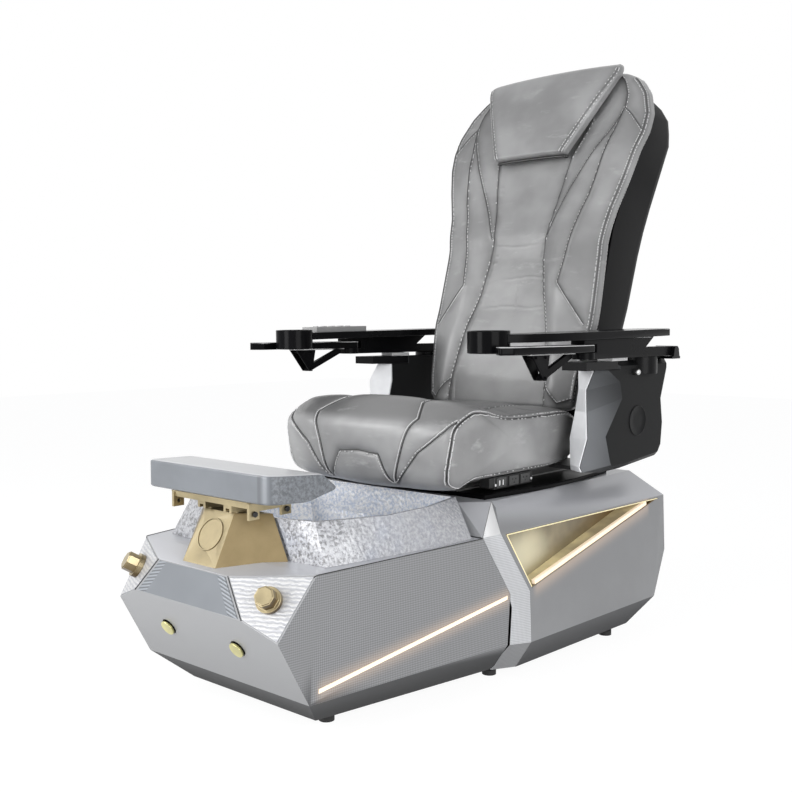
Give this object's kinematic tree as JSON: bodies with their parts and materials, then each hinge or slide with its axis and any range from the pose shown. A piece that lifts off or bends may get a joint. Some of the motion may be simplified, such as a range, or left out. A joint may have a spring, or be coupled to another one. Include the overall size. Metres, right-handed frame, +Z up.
{
  "type": "pedicure spa chair",
  "caption": "Pedicure spa chair: faceted foot-bath base, sliding foot rest, and a padded massage seat that slides and reclines between lift-up arms.",
  "frame": {"origin": "on the floor under the middle of the chair's box", "axes": "+Z up; the chair and its sitter face -Y; +X is on the right as seen from the front, which is the sitter's left"},
  "size_m": [0.804, 1.4879, 1.499],
  "materials": {
    "leather_grey": "satin",
    "pad_blue_grey": "satin",
    "base_silver": "satin",
    "band_woven": "matte",
    "panel_blue": "gloss",
    "plate_silver": "brushed",
    "gold": "satin",
    "lamp_cream": "glowing",
    "basin_crystal": "hammered",
    "black_gloss": "gloss",
    "black_matte": "matte",
    "charcoal_matte": "matte",
    "strip_grey": "satin",
    "arm_metal": "satin",
    "frame_paint": "matte",
    "slide_steel": "brushed",
    "foot_rubber": "matte",
    "valve_brass": "machined",
    "motor_grey": "matte",
    "pipe_white": "satin",
    "roller_ivory": "satin",
    "remote_silver": "satin"
  },
  "bodies": {
    "base": {"base_frame": "frame_paint", "levelling_feet": "foot_rubber", "front_shell": "base_silver", "middle_band": "band_woven", "deck_bridge": "base_silver", "rear_shell": "base_silver", "front_panel": "panel_blue", "corner_plates": "plate_silver", "side_lights": "lamp_cream", "recess_liners": "plate_silver", "recess_lights": "lamp_cream", "access_panel": "base_silver", "basin": "basin_crystal", "drain_flange": "gold", "jet_housing": "pipe_white", "jet_motor": "motor_grey", "valve_bodies": "valve_brass", "button_switches": "black_matte", "pedestal": "gold", "pedestal_badge": "gold", "footrest_guides": "gold", "drain_pump": "motor_grey", "drain_pipe": "pipe_white", "seat_platform": "black_matte", "slide_rails": "slide_steel", "slide_screw": "slide_steel"},
    "left_knob": {"left_knob": "gold"},
    "right_knob": {"right_knob": "gold"},
    "left_button": {"left_button": "gold"},
    "right_button": {"right_button": "gold"},
    "drain_stopper": {"drain_stopper": "gold"},
    "jet_impeller": {"jet_impeller": "pipe_white"},
    "footrest": {"footrest_carriage": "gold", "carriage_bolts": "arm_metal", "footrest_pad": "pad_blue_grey"},
    "seat": {"seat_frame": "frame_paint", "slide_nut": "slide_steel", "seat_cushion": "leather_grey", "outlet_box": "black_matte", "outlet_faces": "black_matte", "arm_boxes": "charcoal_matte", "arm_box_fronts": "strip_grey", "arm_mounts": "arm_metal", "recline_motor": "motor_grey"},
    "back": {"back_frame": "frame_paint", "recline_pins": "slide_steel", "back_shell": "black_gloss", "back_cushion": "leather_grey", "headrest_pillow": "leather_grey"},
    "massage": {"massage_carriage": "slide_steel", "massage_rollers": "roller_ivory"},
    "left_arm": {"left_arm_rail": "arm_metal", "left_arm_top": "black_gloss", "remote_control": "remote_silver"},
    "right_arm": {"right_arm_rail": "arm_metal", "right_arm_top": "black_gloss"},
    "left_tray": {"left_side_tray": "black_gloss", "left_tray_bracket": "arm_metal"},
    "right_tray": {"right_side_tray": "black_gloss", "right_tray_bracket": "arm_metal"}
  },
  "joints": [
    {"name": "footrest_slide", "type": "slide", "parent": "base", "child": "footrest", "axis": [0, -1, 0], "range_m": [-0.03, 0.03]},
    {"name": "right_knob_turn", "type": "hinge", "parent": "base", "child": "right_knob", "pos_m": [0.20048, -0.70654, 0.28489], "axis": [-0.3691, 0.7794, -0.5062], "range_deg": [0, 120]},
    {"name": "left_knob_turn", "type": "hinge", "parent": "base", "child": "left_knob", "pos_m": [-0.20048, -0.70654, 0.28489], "axis": [-0.3691, -0.7794, 0.5062], "range_deg": [0, 120]},
    {"name": "right_button_press", "type": "slide", "parent": "base", "child": "right_button", "axis": [0, 0.874, 0.4859], "range_m": [0, 0.004], "stiffness_N_per_m": 300},
    {"name": "left_button_press", "type": "slide", "parent": "base", "child": "left_button", "axis": [0, 0.874, 0.4859], "range_m": [0, 0.004], "stiffness_N_per_m": 300},
    {"name": "stopper_lift", "type": "slide", "parent": "base", "child": "drain_stopper", "axis": [0, 0, 1], "range_m": [0, 0.012]},
    {"name": "jet_spin", "type": "hinge", "parent": "base", "child": "jet_impeller", "pos_m": [0, -0.3205, 0.12], "axis": [0, 0, 1], "continuous": true},
    {"name": "seat_slide", "type": "slide", "parent": "base", "child": "seat", "axis": [0, -1, 0], "range_m": [0, 0.1]},
    {"name": "back_recline", "type": "hinge", "parent": "seat", "child": "back", "pos_m": [0, 0.3, 0.5], "axis": [-1, 0, 0], "range_deg": [0, 25]},
    {"name": "massage_travel", "type": "slide", "parent": "back", "child": "massage", "axis": [0, 0.2704, 0.9628], "range_m": [0, 0.12]},
    {"name": "right_arm_lift", "type": "hinge", "parent": "seat", "child": "right_arm", "pos_m": [0.37, 0.52, 0.721], "axis": [-1, 0, 0], "range_deg": [0, 60]},
    {"name": "left_arm_lift", "type": "hinge", "parent": "seat", "child": "left_arm", "pos_m": [-0.37, 0.52, 0.721], "axis": [-1, 0, 0], "range_deg": [0, 60]},
    {"name": "right_tray_swivel", "type": "hinge", "parent": "right_arm", "child": "right_tray", "pos_m": [0.37, 0.1, 0.734], "axis": [0, 0, 1], "range_deg": [0, 90]},
    {"name": "left_tray_swivel", "type": "hinge", "parent": "left_arm", "child": "left_tray", "pos_m": [-0.37, 0.1, 0.734], "axis": [0, 0, -1], "range_deg": [0, 90]}
  ]
}
